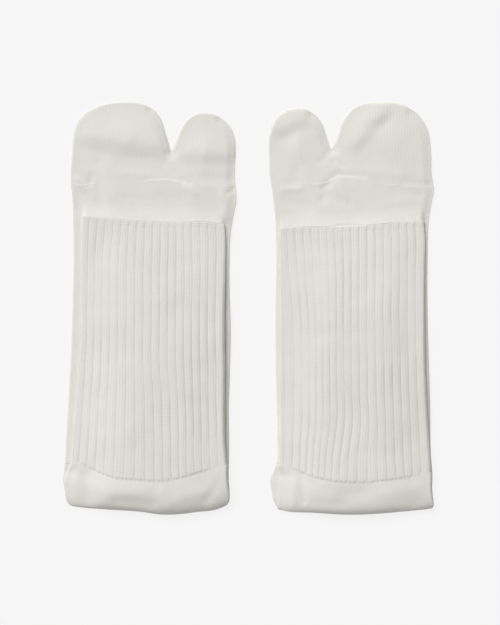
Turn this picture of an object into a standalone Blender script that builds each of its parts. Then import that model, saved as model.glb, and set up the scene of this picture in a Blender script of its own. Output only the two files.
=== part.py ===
"""A pair of split-toe (tabi) socks, folded flat.

Each sole lies down, and its ribbed leg is turned over the foot.

Frame: +X across the pair, +Y towards the toes, +Z up. The origin is at the bottom centre of the pair.
Lengths in the tables are millimetres; MM turns them into metres.
"""

from collections import namedtuple
import math

import bmesh
import bpy

MM = 0.001

# Driving dimensions
WALL = 1.7  # one ply of knitted cotton
SEAM_GAP = 0.3  # clearance between neighbouring pieces
FOOT_HEIGHT = 4.6  # sole ply and instep ply, lying on each other
FOOT_HEIGHT_UNDER_LEG = 6.0
LEG_HEIGHT = 4.6
CUFF_WIDTH = 4.0
CUFF_HEIGHT = 4.9
HEEL_HEIGHT = 11.4
HEEL_TIP_HEIGHT = 4.8  # height of the foremost line of the fold
HEEL_SPLIT = 0.47  # share of the fold's height at which its two layers meet
HEEL_GROOVE = 0.8  # depth of the groove between them, as a share of the lower layer's radius
CROWN = 0.5  # how far a top ply swells above flat
TOE_CROWN_REACH = 22.0

TOE_CROWN = 0.8

# Resolution
FLAT_STEPS = 7
SIDE_STEPS = 3
LOBE_STEPS = 7
SIDE_POINTS = 3
TOE_STEPS = 4

Section = namedtuple("Section", "y left right height")
Line = namedtuple("Line", "left right bow")  # y at the left end, y at the right end, swell between them
Quarter = namedtuple("Quarter", "centre base reach top power")  # a quarter of a rounded lobe
HeelRow = namedtuple("HeelRow", "along left right inset_left inset_right")
# A soft crease in the upper ply
Trough = namedtuple("Trough", "x_from y_from x_to y_to half_width depth")
Sock = namedtuple("Sock", "foot leg heel seam_edges seam cuff turn fold lobes crotch troughs")

LEFT_SOCK = Sock(
    foot=(
        Section(63.0, -102.5, -7.0, 4.6),
        Section(57.0, -102.3, -8.0, 4.9),
        Section(50.0, -102.1, -9.6, 6.0),
        Section(37.0, -102.0, -10.7, 6.0),
        Section(2.0, -102.0, -10.6, 6.0),
        Section(-33.0, -103.7, -10.6, 6.0),
        Section(-68.0, -105.7, -11.3, 6.0),
    ),
    leg=(
        Section(37.0, -96.7, -13.7, 4.6),
        Section(2.0, -97.0, -13.7, 4.6),
        Section(-33.0, -98.2, -13.6, 4.6),
        Section(-68.0, -101.0, -13.4, 4.6),
    ),
    heel=(
        HeelRow(0.0, -107.2, -11.4, 4.0, 1.2),
        HeelRow(0.18, -107.7, -11.4, 3.8, 1.1),
        HeelRow(0.36, -108.0, -11.4, 3.4, 0.9),
        HeelRow(0.54, -107.3, -11.1, 2.6, 0.7),
        HeelRow(0.7, -106.6, -11.0, 1.8, 0.5),
        HeelRow(0.83, -106.0, -11.3, 1.0, 0.3),
        HeelRow(0.93, -105.0, -12.0, 0.4, 0.1),
        HeelRow(1.0, -103.4, -13.4, 0.0, 0.0),
    ),
    seam_edges=(-103.4, -7.7),
    seam=Line(72.3, 72.6, 0.5),
    cuff=Line(54.3, 49.1, -0.9),
    turn=Line(-90.2, -90.6, -9.8),
    fold=Line(-115.3, -114.8, -4.9),
    lobes=(
        (Quarter(-73.5, 94.4, 29.2, 120.3, 2.6), Quarter(-73.5, 84.0, 27.6, 120.3, 2.7)),
        (Quarter(-25.3, 84.0, 19.2, 113.9, 2.3), Quarter(-25.3, 96.0, 17.5, 113.9, 2.1)),
    ),
    crotch=91.2,
    troughs=(
        Trough(-95.0, 92.0, -54.0, 85.0, 4.5, 0.6),
        Trough(-37.0, 83.5, -12.0, 81.5, 4.0, 0.45),
    ),
)

RIGHT_SOCK = Sock(
    foot=(
        Section(63.0, 14.4, 107.0, 4.6),
        Section(57.0, 15.2, 106.0, 4.9),
        Section(50.0, 15.8, 104.8, 6.0),
        Section(37.0, 16.4, 104.3, 6.0),
        Section(2.0, 16.0, 103.9, 6.0),
        Section(-33.0, 16.0, 104.9, 6.0),
        Section(-68.0, 16.8, 106.0, 6.0),
    ),
    leg=(
        Section(37.0, 18.4, 102.3, 4.6),
        Section(2.0, 18.4, 102.3, 4.6),
        Section(-33.0, 18.4, 102.8, 4.6),
        Section(-68.0, 18.2, 104.2, 4.6),
    ),
    heel=(
        HeelRow(0.0, 16.4, 106.3, 1.4, 0.9),
        HeelRow(0.18, 14.2, 107.0, 3.4, 0.9),
        HeelRow(0.36, 12.6, 107.1, 4.6, 0.8),
        HeelRow(0.54, 13.2, 107.0, 3.8, 0.7),
        HeelRow(0.7, 13.9, 107.3, 2.8, 0.5),
        HeelRow(0.83, 14.8, 107.7, 1.6, 0.3),
        HeelRow(0.93, 16.0, 107.6, 0.6, 0.1),
        HeelRow(1.0, 17.6, 106.4, 0.0, 0.0),
    ),
    seam_edges=(13.2, 108.1),
    seam=Line(71.8, 72.2, 0.4),
    cuff=Line(46.8, 52.0, -0.4),
    turn=Line(-91.0, -95.6, -7.4),
    fold=Line(-116.6, -116.2, -3.5),
    lobes=(
        (Quarter(28.8, 98.0, 17.1, 117.0, 2.3), Quarter(28.8, 85.0, 18.5, 117.0, 2.3)),
        (Quarter(77.5, 85.0, 28.6, 120.2, 2.5), Quarter(77.5, 95.0, 28.5, 120.2, 2.25)),
    ),
    crotch=92.7,
    troughs=(
        Trough(20.0, 96.5, 30.0, 105.0, 3.5, 0.5),
        Trough(68.0, 101.5, 80.0, 109.5, 4.0, 0.5),
        Trough(68.0, 101.5, 62.0, 89.5, 4.0, 0.35),
    ),
)

SOCKS = {"left": LEFT_SOCK, "right": RIGHT_SOCK}

# Off-white cotton; the rib and the welt are knitted tighter, so they read a little deeper in tone
PLAIN_KNIT = (0.78, 0.77, 0.74, 1.0)
RIB_KNIT = (0.75, 0.74, 0.71, 1.0)
TOE_KNIT = (0.79, 0.78, 0.75, 1.0)


def new_collection(name):
    collection = bpy.data.collections.new(name)
    bpy.context.scene.collection.children.link(collection)
    return collection


def knit_material(name, colour, roughness):
    material = bpy.data.materials.new(name)
    material.use_nodes = True
    shader = material.node_tree.nodes["Principled BSDF"]
    shader.inputs["Base Color"].default_value = colour
    shader.inputs["Roughness"].default_value = roughness
    shader.inputs["Metallic"].default_value = 0.0
    return material


def add_piece(collection, name, mesh_builder, colour, roughness=0.9):
    """Makes a named object from a filled bmesh, in metres, with a material of its own."""
    for vertex in mesh_builder.verts:
        vertex.co *= MM
    mesh = bpy.data.meshes.new(name)
    mesh_builder.to_mesh(mesh)
    mesh_builder.free()
    mesh.shade_smooth()
    mesh.set_sharp_from_angle(angle=math.radians(50))
    mesh.materials.append(knit_material(name + " knit", colour, roughness))
    piece = bpy.data.objects.new(name, mesh)
    collection.objects.link(piece)
    return piece


def make_wall(piece, thickness):
    """Gives an open skin the thickness of the cloth, inwards."""
    wall = piece.modifiers.new("ply", "SOLIDIFY")
    wall.thickness = thickness * MM
    wall.offset = -1.0


def line_at(line, share, power=2.0):
    """Height of a bowed line at a share of its length, 0 at its left end and 1 at its right."""
    swell = 1.0 - abs(2.0 * share - 1.0) ** power
    return line.left + (line.right - line.left) * share + line.bow * swell


def half_round(outer, low, high, side):
    """Points up the rounded edge of a flattened tube; side is 1 at its right edge and -1 at its left."""
    radius = (high - low) / 2.0
    points = []
    for step in range(1, SIDE_STEPS + 1):
        angle = math.pi * (step / (SIDE_STEPS + 1) - 0.5)
        x = outer - side * radius * (1.0 - math.cos(angle))
        points.append((x, low + radius * (1.0 + math.sin(angle))))
    return points


def across(left, right, inset_left, inset_right):
    low = left + inset_left
    high = right - inset_right
    return [low + (high - low) * step / FLAT_STEPS for step in range(FLAT_STEPS + 1)]


def crown_at(x, left, right, crown):
    share = (x - left) / (right - left)
    return crown * (1.0 - (2.0 * share - 1.0) ** 2)


def flat_ring(left, right, low, high, crown):
    """A flattened tube's section as (x, z): flat beneath, round at both edges, crowned on top."""
    radius = (high - low) / 2.0
    flats = across(left, right, radius, radius)
    beneath = [(x, low) for x in flats]
    above = [(x, high + crown_at(x, left + radius, right - radius, crown)) for x in reversed(flats)]
    right_edge = half_round(right, low, high, 1)
    left_edge = half_round(left, low, high, -1)
    return beneath + right_edge + above + left_edge[::-1]


def layered_ring(row, low, high, crown):
    """The fold's section: two layers with a groove between them at each edge."""
    split = low + (high - low) * HEEL_SPLIT
    lower = (split - low) / 2.0
    upper = (high - split) / 2.0
    upper_left = row.left + row.inset_left
    upper_right = row.right - row.inset_right
    groove = HEEL_GROOVE * lower
    beneath = [(x, low) for x in across(row.left, row.right, lower, lower)]
    above = [
        (x, high + crown_at(x, upper_left + upper, upper_right - upper, crown))
        for x in reversed(across(upper_left, upper_right, upper, upper))
    ]
    right_edge = half_round(row.right, low, split, 1)
    right_edge.append((upper_right - groove, split))
    right_edge += half_round(upper_right, split, high, 1)
    left_edge = half_round(row.left, low, split, -1)
    left_edge.append((upper_left + groove, split))
    left_edge += half_round(upper_left, split, high, -1)
    return beneath + right_edge + above + left_edge[::-1]


def loft(rings):
    """A skin through closed rings of equal length, listed from the toe end to the heel end."""
    builder = bmesh.new()
    made = [[builder.verts.new(point) for point in ring] for ring in rings]
    for first, second in zip(made, made[1:]):
        for index in range(len(first)):
            after = (index + 1) % len(first)
            builder.faces.new((first[index], first[after], second[after], second[index]))
    return builder, made


def close_end(builder, ring):
    """Fills one end of a solid loft, pairing each point beneath with the one above it."""
    flats = FLAT_STEPS + 1
    edge = (len(ring) - 2 * flats) // 2
    above_start = flats + edge
    for index in range(FLAT_STEPS):
        over = above_start + FLAT_STEPS - index
        builder.faces.new((ring[index], ring[over], ring[over - 1], ring[index + 1]))
    builder.faces.new(ring[FLAT_STEPS : above_start + 1])
    builder.faces.new(ring[above_start + FLAT_STEPS :] + ring[:1])


def bowed(section, y_of, left, right):
    """Sets a section's points on a bowed line across it."""
    placed = []
    for x, z in section:
        share = min(1.0, max(0.0, (x - left) / (right - left)))
        placed.append((x, y_of(share), z))
    return placed


def turn_line(sock, x):
    """Where the rib ends and the heel begins, as a height at x. Every layer of the sock follows it."""
    left = sock.heel[0].left + sock.heel[0].inset_left
    right = sock.heel[0].right - sock.heel[0].inset_right
    share = min(1.0, max(0.0, (x - left) / (right - left)))
    return line_at(sock.turn, share)


def along_turn(sock, section, offset):
    return [(x, turn_line(sock, x) + offset, z) for x, z in section]


def build_foot(collection, side, sock):
    left, right = sock.seam_edges
    first = flat_ring(left, right, 0.0, FOOT_HEIGHT, CROWN)
    rings = [bowed(first, lambda share: line_at(sock.seam, share) - SEAM_GAP / 2.0, left, right)]
    for row in sock.foot:
        crown = CROWN * (FOOT_HEIGHT_UNDER_LEG - row.height) / (FOOT_HEIGHT_UNDER_LEG - FOOT_HEIGHT)
        section = flat_ring(row.left, row.right, 0.0, row.height, crown)
        rings.append([(x, row.y, z) for x, z in section])
    last = flat_ring(sock.heel[0].left, sock.heel[0].right, 0.0, FOOT_HEIGHT_UNDER_LEG, 0.0)
    rings.append(along_turn(sock, last, SEAM_GAP / 2.0))
    builder, _ = loft(rings)
    make_wall(add_piece(collection, side + "_foot", builder, PLAIN_KNIT), WALL)


def build_leg(collection, side, sock):
    low = FOOT_HEIGHT_UNDER_LEG + SEAM_GAP
    top = sock.leg[0]
    first = flat_ring(top.left, top.right, low, low + LEG_HEIGHT, CROWN)
    below_cuff = CUFF_WIDTH + SEAM_GAP
    rings = [bowed(first, lambda share: line_at(sock.cuff, share) - below_cuff, top.left, top.right)]
    for row in sock.leg:
        section = flat_ring(row.left, row.right, low, low + row.height, CROWN)
        rings.append([(x, row.y, z) for x, z in section])
    start = sock.heel[0]
    left = start.left + start.inset_left
    right = start.right - start.inset_right
    last = flat_ring(left, right, low, low + LEG_HEIGHT, CROWN)
    rings.append(along_turn(sock, last, SEAM_GAP / 2.0))
    builder, _ = loft(rings)
    make_wall(add_piece(collection, side + "_leg", builder, RIB_KNIT), WALL)


def build_cuff(collection, side, sock):
    low = FOOT_HEIGHT_UNDER_LEG + SEAM_GAP
    top = sock.leg[0]
    rings = []
    for back, height in ((0.0, LEG_HEIGHT), (CUFF_WIDTH / 2.0, CUFF_HEIGHT), (CUFF_WIDTH, LEG_HEIGHT)):
        section = flat_ring(top.left, top.right, low, low + height, CROWN)
        line = Line(sock.cuff.left - back, sock.cuff.right - back, sock.cuff.bow)
        rings.append(bowed(section, lambda share: line_at(line, share), top.left, top.right))
    builder, _ = loft(rings)
    make_wall(add_piece(collection, side + "_cuff", builder, RIB_KNIT), WALL)


def build_heel(collection, side, sock):
    """The rounded fold: from the end of the rib, over the bottom fold, to the sole."""
    top_falls_from = 0.3
    sole_rises_from = 0.55
    thinnest = 0.12
    rings = []
    for row in sock.heel:
        fall = max(0.0, row.along - top_falls_from) / (1.0 - top_falls_from)
        rise = max(0.0, row.along - sole_rises_from) / (1.0 - sole_rises_from)
        above = max(thinnest, math.sqrt(1.0 - fall**2))
        beneath = max(thinnest, math.sqrt(1.0 - rise**2))
        high = HEEL_TIP_HEIGHT + (HEEL_HEIGHT - HEEL_TIP_HEIGHT) * above
        low = HEEL_TIP_HEIGHT * (1.0 - beneath)
        ring = []
        for x, z in layered_ring(row, low, high, CROWN * above):
            share = min(1.0, max(0.0, (x - row.left) / (row.right - row.left)))
            start = turn_line(sock, x) - SEAM_GAP / 2.0
            end = line_at(sock.fold, share, power=1.7)
            ring.append((x, start + (end - start) * row.along, z))
        rings.append(ring)
    builder, made = loft(rings)
    close_end(builder, made[0])
    close_end(builder, made[-1])
    bmesh.ops.recalc_face_normals(builder, faces=builder.faces)
    add_piece(collection, side + "_heel", builder, PLAIN_KNIT)


def quarter_points(quarter, side, start_height):
    """A lobe's flank, from start_height up to its top; side is -1 on its left and 1 on its right."""
    tall = quarter.top - quarter.base
    first = math.asin(((start_height - quarter.base) / tall) ** (quarter.power / 2.0))
    points = []
    for step in range(LOBE_STEPS + 1):
        angle = first + (math.pi / 2.0 - first) * step / LOBE_STEPS
        x = quarter.centre + side * quarter.reach * max(0.0, math.cos(angle)) ** (2.0 / quarter.power)
        points.append((x, quarter.base + tall * math.sin(angle) ** (2.0 / quarter.power)))
    return points


def toe_outline(sock):
    """The split toe's outline, from the left end of the seam round both lobes to its right end."""
    (outer_left, inner_left), (inner_right, outer_right) = sock.lobes
    left, right = sock.seam_edges
    start = quarter_points(outer_left, -1, outer_left.base)
    end = quarter_points(outer_right, 1, outer_right.base)
    seam_left = (left, sock.seam.left + SEAM_GAP / 2.0)
    seam_right = (right, sock.seam.right + SEAM_GAP / 2.0)
    points = []
    for step in range(SIDE_POINTS):
        share = step / SIDE_POINTS
        points.append(tuple(a + (b - a) * share for a, b in zip(seam_left, start[0])))
    points += start
    points += quarter_points(inner_left, 1, sock.crotch)[::-1][1:-1]
    low_left = quarter_points(inner_left, 1, sock.crotch)[0]
    low_right = quarter_points(inner_right, -1, sock.crotch)[0]
    points.append(((low_left[0] + low_right[0]) / 2.0, sock.crotch))
    points += quarter_points(inner_right, -1, sock.crotch)[1:]
    points += end[::-1][1:]
    for step in range(1, SIDE_POINTS + 1):
        share = step / SIDE_POINTS
        points.append(tuple(a + (b - a) * share for a, b in zip(end[0], seam_right)))
    return points


def distance_to_segment(point, start, end):
    along = (end[0] - start[0], end[1] - start[1])
    length = along[0] ** 2 + along[1] ** 2
    share = ((point[0] - start[0]) * along[0] + (point[1] - start[1]) * along[1]) / length
    share = min(1.0, max(0.0, share))
    return math.hypot(point[0] - start[0] - share * along[0], point[1] - start[1] - share * along[1])


def edge_distance(point, outline):
    return min(distance_to_segment(point, *ends) for ends in zip(outline, outline[1:]))


def trough_depth(point, troughs):
    """How far the soft creases draw the upper ply down at a point."""
    depth = 0.0
    for trough in troughs:
        ends = (trough.x_from, trough.y_from), (trough.x_to, trough.y_to)
        depth += trough.depth * math.exp(-((distance_to_segment(point, *ends) / trough.half_width) ** 2))
    return depth


def toe_stations(length, radius):
    """Distances from the outline at which a column of the toe has a point."""
    near = min(radius, length / 2.0)
    rest = length - near
    inner = [near + rest * step / TOE_STEPS for step in range(TOE_STEPS + 1)]
    return [0.0, 0.3 * near] + inner


def build_toe(collection, side, sock):
    """The two-lobed pocket: columns run from the seam to the outline, on an upper and a lower ply."""
    outline = toe_outline(sock)
    left, right = sock.seam_edges
    radius = FOOT_HEIGHT / 2.0
    columns = []
    for index, tip in enumerate(outline):
        share = 0.5 * index / (len(outline) - 1) + 0.5 * (tip[0] - left) / (right - left)
        share = min(1.0, max(0.0, share))
        root = (left + (right - left) * share, line_at(sock.seam, share) + SEAM_GAP / 2.0)
        length = math.hypot(tip[0] - root[0], tip[1] - root[1])
        column = []
        for station in toe_stations(length, radius):
            part = station / length if length > 0.0 else 0.0
            x = tip[0] + (root[0] - tip[0]) * part
            y = tip[1] + (root[1] - tip[1]) * part
            distance = edge_distance((x, y), outline)
            near = min(1.0, distance / radius)
            half = radius * math.sqrt(1.0 - (1.0 - near) ** 2)
            deep = min(1.0, distance / TOE_CROWN_REACH)
            swell = TOE_CROWN * deep * (2.0 - deep) - near * trough_depth((x, y), sock.troughs)
            column.append((x, y, radius + half + swell, radius - half))
        columns.append(column)
    builder = bmesh.new()
    over = [[builder.verts.new((x, y, high)) for x, y, high, low in column] for column in columns]
    under = [[builder.verts.new((x, y, low)) for x, y, high, low in column] for column in columns]
    for first, second in zip(range(len(columns)), range(1, len(columns))):
        for outer in range(len(columns[0]) - 1):
            inner = outer + 1
            upper = (over[first][inner], over[second][inner], over[second][outer], over[first][outer])
            lower = (under[first][outer], under[second][outer], under[second][inner], under[first][inner])
            builder.faces.new(upper)
            builder.faces.new(lower)
    bmesh.ops.remove_doubles(builder, verts=builder.verts, dist=0.001)
    make_wall(add_piece(collection, side + "_toe", builder, TOE_KNIT), WALL)


def main():
    for item in list(bpy.data.objects):
        bpy.data.objects.remove(item)
    collection = new_collection("tabi_socks")
    for side, sock in SOCKS.items():
        build_toe(collection, side, sock)
        build_foot(collection, side, sock)
        build_heel(collection, side, sock)
        build_leg(collection, side, sock)
        build_cuff(collection, side, sock)


main()
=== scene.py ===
# %% [markdown]
# # A pair of tabi socks, folded flat
#
# Tabi socks part the big toe from the others, so that a sandal's thong can go between them. These are
# off-white cotton crew socks. Each lies sole down, its ribbed leg is turned forward over the foot, and the
# heel makes the rounded fold at the near end. The solids of the frame give each piece's place; this script
# knits its surface.

# %% Load the frame
import math
from collections import namedtuple

import bpy
import numpy as np
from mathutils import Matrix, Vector


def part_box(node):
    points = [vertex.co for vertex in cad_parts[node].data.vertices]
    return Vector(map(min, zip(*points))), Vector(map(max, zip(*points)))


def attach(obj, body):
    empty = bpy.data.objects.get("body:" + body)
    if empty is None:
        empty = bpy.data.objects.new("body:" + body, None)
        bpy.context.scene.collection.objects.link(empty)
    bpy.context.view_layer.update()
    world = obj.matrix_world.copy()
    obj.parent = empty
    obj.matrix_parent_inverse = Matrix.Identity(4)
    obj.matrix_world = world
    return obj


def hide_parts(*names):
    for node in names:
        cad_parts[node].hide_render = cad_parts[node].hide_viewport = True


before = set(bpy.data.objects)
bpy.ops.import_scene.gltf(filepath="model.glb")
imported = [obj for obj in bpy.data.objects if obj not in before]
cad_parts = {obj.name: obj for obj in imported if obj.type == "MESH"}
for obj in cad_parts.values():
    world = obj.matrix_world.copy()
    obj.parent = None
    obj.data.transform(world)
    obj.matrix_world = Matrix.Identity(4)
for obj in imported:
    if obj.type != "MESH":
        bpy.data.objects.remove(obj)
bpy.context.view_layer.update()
bpy.ops.object.select_all(action="DESELECT")
for name in sorted(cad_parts):
    low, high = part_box(name)
    print(name, [round(1000 * (b - a), 1) for a, b in zip(low, high)], "mm")

# %% [markdown]
# ## Measures of the knitting
#
# A sock is knitted in the round, so every part of it is a tube pressed flat: two plies that meet in a soft
# round edge. All lengths below are millimetres, because that is how a knitter counts a gauge. The leg's
# ribs come 37 to the round, each of two raised wales and one that falls back between them.

# %% Measures
MM = 0.001
PLY = 0.8
RIB_PLY = 0.65
LAYER_GAP = 0.15
LEG_THICK = 4.4
WELT = 3.8
RIBS_ROUND = 37
WALES_PER_RIB = 3
# Stitches are a touch coarser than this yarn's real 1.3 mm by 1.05 mm, so that they show from above
WALE = 1.35
COURSE = 1.2

# %% [markdown]
# ## The outline of each sock
#
# No two socks lie alike, so each has its own short tables, and a smooth curve goes through the rows of
# each: the edges of foot and leg, the two toe lobes, and the lines that cross the sock, such as the toe
# seam and the heel's fold. The layers say how far in the leg's edges lie along the fold. Last come the
# leg's thickness at each edge, and how late its heel falls away.

# %% Tables of the two socks
Edge = namedtuple("Edge", "y left right")
Point = namedtuple("Point", "x y")
SeamPoint = namedtuple("SeamPoint", "x y rise")
Stroke = namedtuple("Stroke", "x_from y_from x_to y_to half_width depth")
Slope = namedtuple("Slope", "x_from y_from x_to y_to reach rise")
Lean = namedtuple("Lean", "x half_width y_from y_to shift")
FoldRow = namedtuple("FoldRow", "along inset_left inset_right")
Sock = namedtuple(
    "Sock", "left_lobe right_lobe foot leg seam cuff turn fold layers thin_left thin_right fall"
)


def rows(kind, *values):
    """A table: every row is of one kind, with that kind's named columns."""
    return tuple(kind(*value) for value in values)


left_sock = Sock(
    left_lobe=rows(
        Point, (-103.4, 72.3), (-103.5, 78), (-103.1, 86), (-102.6, 94), (-101.7, 103), (-99.4, 109.4),
        (-95, 114.3), (-88, 117.8), (-80, 119.7), (-72, 120.3), (-65, 119.9), (-58.7, 117.9),
        (-53.6, 114.2), (-50.5, 109.3), (-48.8, 104), (-46.9, 97.6), (-44.9, 91.4),
    ),
    right_lobe=rows(
        Point, (-44.9, 91.4), (-42.1, 97.6), (-39.8, 103.4), (-37.4, 107.9), (-33.3, 112), (-26.5, 114.1),
        (-19.5, 112.8), (-13.8, 109.3), (-9.8, 104.6), (-7.8, 98.5), (-7.4, 91), (-7.8, 83), (-7.9, 76),
        (-7.2, 68.3),
    ),
    foot=rows(
        Edge, (77, -103.5, -8), (72.3, -103.4, -7.6), (67.7, -102.9, -7), (63, -102.5, -7),
        (53.7, -102.2, -8.7), (45.6, -102, -10.1), (28.2, -101.8, -11), (10.7, -102.2, -11),
        (-10, -102.8, -10.3), (-41.5, -104.2, -10.9), (-59, -105.3, -11.4), (-76.4, -106.3, -11.2),
        (-88, -106.9, -11.3), (-94.5, -107.5, -11.4), (-99.6, -108, -11.4), (-105.4, -107.1, -11),
        (-111.3, -106.2, -11), (-114.5, -104.8, -11.7),
    ),
    leg=rows(
        Edge, (53, -96.4, -14.5), (45, -96.8, -13.6), (20, -96.9, -13.4), (-6, -97, -13.8),
        (-33, -98.3, -13.6), (-60, -100.6, -13.7), (-80, -102.3, -13.3), (-92, -103.4, -12.2),
    ),
    seam=rows(
        SeamPoint, (-103.4, 72.3, 0.12), (-97, 71.3, 0.3), (-91, 72.6, 0.22), (-84, 71.3, 0.04),
        (-66, 73, 0.13), (-46, 74, 0.08), (-36.5, 72.3, 0.18), (-22, 70.6, 0.05), (-7.2, 68.3, 0.1),
    ),
    cuff=rows(
        Point, (-97, 54.4), (-86, 53.1), (-74, 51.9), (-57, 50.9), (-40, 50.3), (-25, 50.7), (-13.5, 48.9),
    ),
    turn=rows(
        Point, (-108, -89.4), (-98, -90.4), (-92, -92.8), (-86, -95.6), (-77.6, -98.5), (-66, -99.5),
        (-52, -100.3), (-39.8, -98.6), (-28.2, -95.2), (-19.5, -92.7), (-11, -90.6),
    ),
    fold=rows(
        Point, (-104, -114.8), (-97, -115.8), (-81, -117.1), (-63, -118.3), (-50, -120), (-44, -120),
        (-30, -118.5), (-18, -116.8), (-12.6, -114.6),
    ),
    layers=rows(
        FoldRow, (0, 3.8, 0.9), (0.2, 2.2, 0.9), (0.45, 0.8, 0.7), (0.75, 0.4, 0.4), (1, 0.2, 0.1),
    ),
    thin_left=1.2, thin_right=5, fall=2.3,
)

right_sock = Sock(
    left_lobe=rows(
        Point, (13.2, 72.4), (12.4, 77.5), (12, 83), (11.8, 92), (12, 99), (13, 105), (15.4, 110.6),
        (20.2, 114.7), (28, 116.8), (33.8, 115.8), (39.2, 112.5), (42.6, 108.1), (45, 102), (46.6, 96.5),
        (48, 92.8),
    ),
    right_lobe=rows(
        Point, (48, 92.8), (50.6, 97.2), (52.4, 102.5), (53.9, 107.5), (56.8, 112.3), (61.2, 116.9),
        (68.2, 119.7), (77.5, 120.2), (87, 119.5), (93.1, 117.1), (98.5, 113.3), (102.4, 108.3),
        (104.8, 102.5), (106, 95.5), (106.5, 87), (106.6, 79), (107.2, 75), (108.1, 70),
    ),
    foot=rows(
        Edge, (80.5, 12.1, 106.5), (75.5, 12.8, 107), (72.3, 13.3, 108), (67.7, 13.9, 107.9),
        (63, 14.4, 107), (53.7, 15.5, 105.3), (45.6, 15.9, 104.6), (28.2, 16.2, 104.3), (10.7, 15.9, 104.2),
        (-6.7, 15.7, 104.4), (-41.5, 16.1, 105.4), (-59, 16.4, 105.9), (-76.4, 16.9, 106),
        (-89, 16.4, 106.5), (-94, 14.5, 107), (-99.6, 12.5, 107.1), (-105.4, 13.4, 107),
        (-111.3, 14.5, 107.7), (-115.5, 16.2, 108.1),
    ),
    leg=rows(
        Edge, (50, 18.4, 102), (42, 18.5, 102.6), (20, 18.5, 102.4), (-6, 18.4, 102.4), (-33, 18.3, 102.8),
        (-60, 18.3, 104), (-80, 18.3, 105.2), (-93, 18.2, 106),
    ),
    seam=rows(
        SeamPoint, (13.2, 72.4, 0.16), (28, 72.3, 0.28), (40, 72, 0.16), (46, 72.8, 0.16),
        (51.5, 75.6, 0.03), (58, 75.8, 0.05), (66, 75.2, 0.06), (72, 73.8, 0.12), (79, 72.2, 0.1),
        (90, 71, 0.1), (108.1, 70, 0.08),
    ),
    cuff=rows(
        Point, (18, 47), (30, 47.6), (53, 47.9), (76, 49.3), (91, 50.8), (103, 51.3),
    ),
    turn=rows(
        Point, (12, -90.8), (20, -91.6), (28, -94), (36.3, -97.4), (47.4, -100.2), (59, -101.2),
        (68, -101.1), (78, -100), (90, -98.4), (108, -95),
    ),
    fold=rows(
        Point, (16, -116.6), (22, -118), (38, -118.9), (56, -120), (64, -120), (76, -119.4), (92, -118),
        (104, -116.8), (108, -116.2),
    ),
    layers=rows(
        FoldRow, (0, 1.6, 0.7), (0.25, 5, 0.7), (0.5, 4.6, 0.6), (0.75, 3, 0.4), (1, 0.6, 0.1),
    ),
    thin_left=1.6, thin_right=3.7, fall=2.7,
)

socks = {"left": left_sock, "right": right_sock}

# %% [markdown]
# ## Folds, dimples and puckers
#
# Knitted cloth that has been worn or packed is never quite flat. Each soft trough is a stroke from one
# point to another with a half width and a depth; a depth below zero is a ridge. They are placed one by one,
# uneven in length and depth, and the soles and hidden sides get some of their own.

# %% Tables of folds
instep_strokes = {
    "left": rows(
        Stroke, (-84, 88, -62, 85.5, 5.5, 0.25), (-45, 91, -43, 87, 1.7, 0.13),
        (-46.5, 89, -48, 84, 2.4, 0.15), (-91.5, 76.5, -92.5, 72.9, 1.9, 0.38),
        (-38, 74.3, -34.5, 72.6, 1.7, 0.3), (-88, 84, -86, 60, 3.6, 0.35), (-31, 76, -12, 75, 3, 0.25),
        (-99.5, 75, -96, 69.5, 2, -0.35), (-8.5, 69.4, -12.5, 67, 1.8, 0.35),
        (-36, 70.5, -31, 67, 2.2, -0.3), (-70, 64, -40, 62.5, 4, 0.2), (-15, 66, -13, 54, 2.6, -0.25),
        (-98, 68, -99, 58, 2.4, 0.25), (-74, 79, -58, 77.5, 2.4, -0.2),
    ),
    "right": rows(
        Stroke, (21, 98, 28, 103, 4, 0.25), (71, 105, 80, 109, 3.6, 0.45), (48, 92, 49.5, 86, 1.7, 0.15),
        (45.5, 88.5, 41, 85, 1.8, 0.2), (50.5, 86, 56, 83, 2, 0.2), (46.5, 73.5, 50.5, 77, 2.5, 0.36),
        (43, 70, 46, 72, 2, 0.3), (52, 78.2, 67, 77.4, 1.8, 0.25), (91, 73.6, 105, 72.2, 2.6, 0.25),
        (30, 82, 26, 74, 4, 0.3), (46, 70, 43, 63, 2.8, 0.35), (48, 65, 57, 61, 4, 0.4),
        (86, 68, 100, 66, 3.4, 0.25), (30, 69.8, 20, 69.4, 1.8, -0.3), (22, 62, 34, 60, 4, 0.3),
        (70, 80, 88, 78, 3, -0.2),
    ),
}

# Each slope climbs to the left of its run, over its reach, and sinks back slowly behind it
lobe_slopes = {
    "left": rows(Slope, (-100, 91.5, -48, 84, 11, 1.35), (-40, 83.5, -9, 82.5, 8, 0.95)),
    "right": rows(Slope, (64, 88, 86, 112, 8, 1), (16, 97, 36, 104, 8, 0.8)),
}

sole_strokes = {
    "left": rows(
        Stroke, (-94, 86, -70, 92, 3.5, 0.5), (-64, 84, -50, 88, 3, 0.4), (-36, 86, -18, 90, 2.6, 0.45),
        (-90, 40, -62, 33, 4, 0.35), (-44, 12, -22, 5, 3.4, 0.4), (-98, -22, -72, -28, 4, 0.45),
        (-52, -50, -28, -44, 3.6, 0.35), (-92, -78, -70, -84, 3.6, 0.5),
    ),
    "right": rows(
        Stroke, (20, 90, 38, 95, 2.8, 0.45), (62, 88, 92, 93, 3.6, 0.5), (26, 44, 50, 38, 3.8, 0.35),
        (70, 18, 98, 24, 3.6, 0.45), (22, -12, 46, -18, 4, 0.4), (66, -44, 92, -38, 3.6, 0.35),
        (28, -72, 52, -80, 3.8, 0.5), (74, -84, 98, -76, 3.2, 0.35),
    ),
}

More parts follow.
